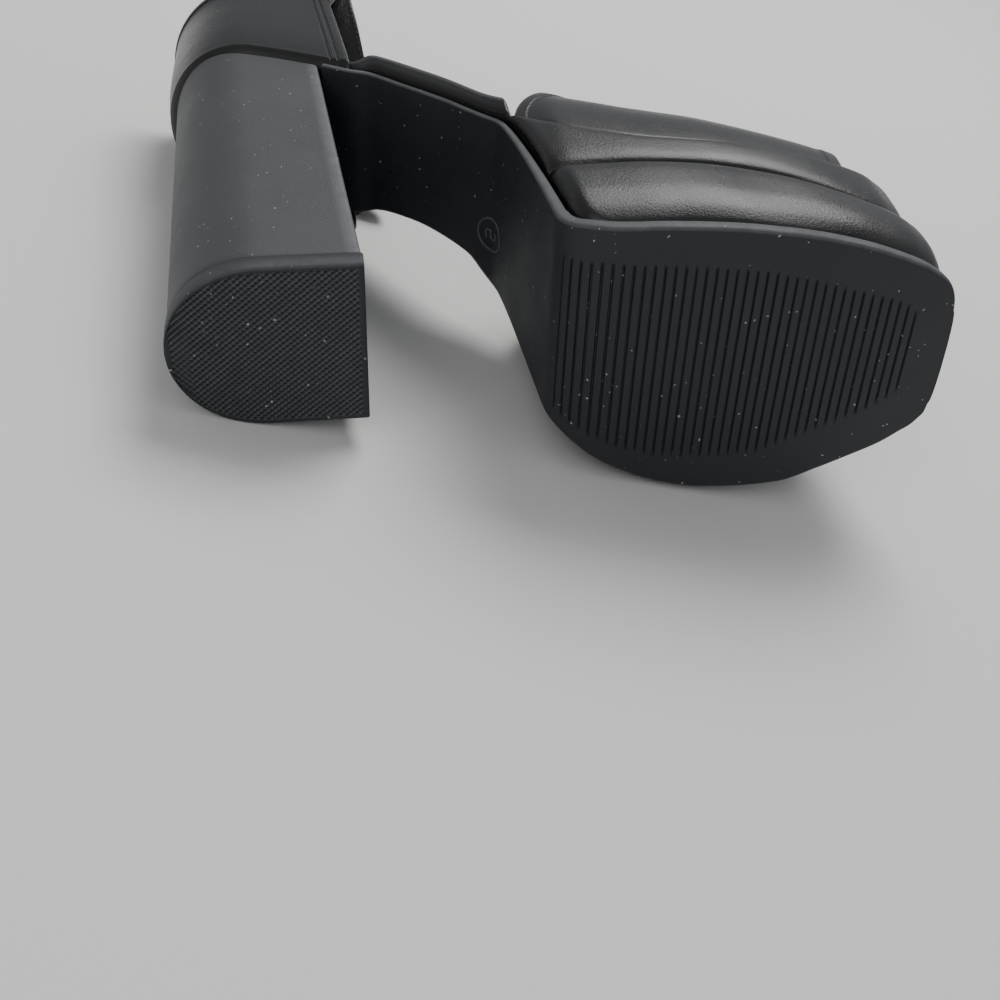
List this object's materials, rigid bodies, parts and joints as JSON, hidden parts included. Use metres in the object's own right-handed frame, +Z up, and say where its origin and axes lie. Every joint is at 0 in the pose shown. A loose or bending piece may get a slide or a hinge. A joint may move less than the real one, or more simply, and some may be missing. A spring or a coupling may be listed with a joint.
{
  "type": "platform shoe",
  "caption": "Right black platform sandal with a block heel, open toe and waist, closed counter and a slack ankle strap, lying on its medial side.",
  "frame": {"origin": "centre of the bounding box at the floor that the shoe lies on", "axes": "+X towards the toe, +Z up from the floor to the shoe's lateral side, the walking face looks to -Y"},
  "size_m": [0.2334, 0.215, 0.0975],
  "materials": {
    "sole_rubber": "matte black rubber with fine grain and dust",
    "black_wrap": "satin black coated leather look, fine grain",
    "heel_wrap": "matte black wrap with fine dust",
    "buckle_metal": "polished metal"
  },
  "bodies": {
    "root": {"outsole": "sole_rubber", "platform_lower": "black_wrap", "platform_upper": "black_wrap", "footbed": "black_wrap", "heel": "heel_wrap", "heel_tip": "sole_rubber", "vamp": "black_wrap", "counter": "black_wrap", "ankle_strap": "black_wrap", "buckle_strap": "black_wrap", "buckle_frame": "buckle_metal", "buckle_prong": "buckle_metal", "strap_keeper": "black_wrap"}
  },
  "joints": []
}
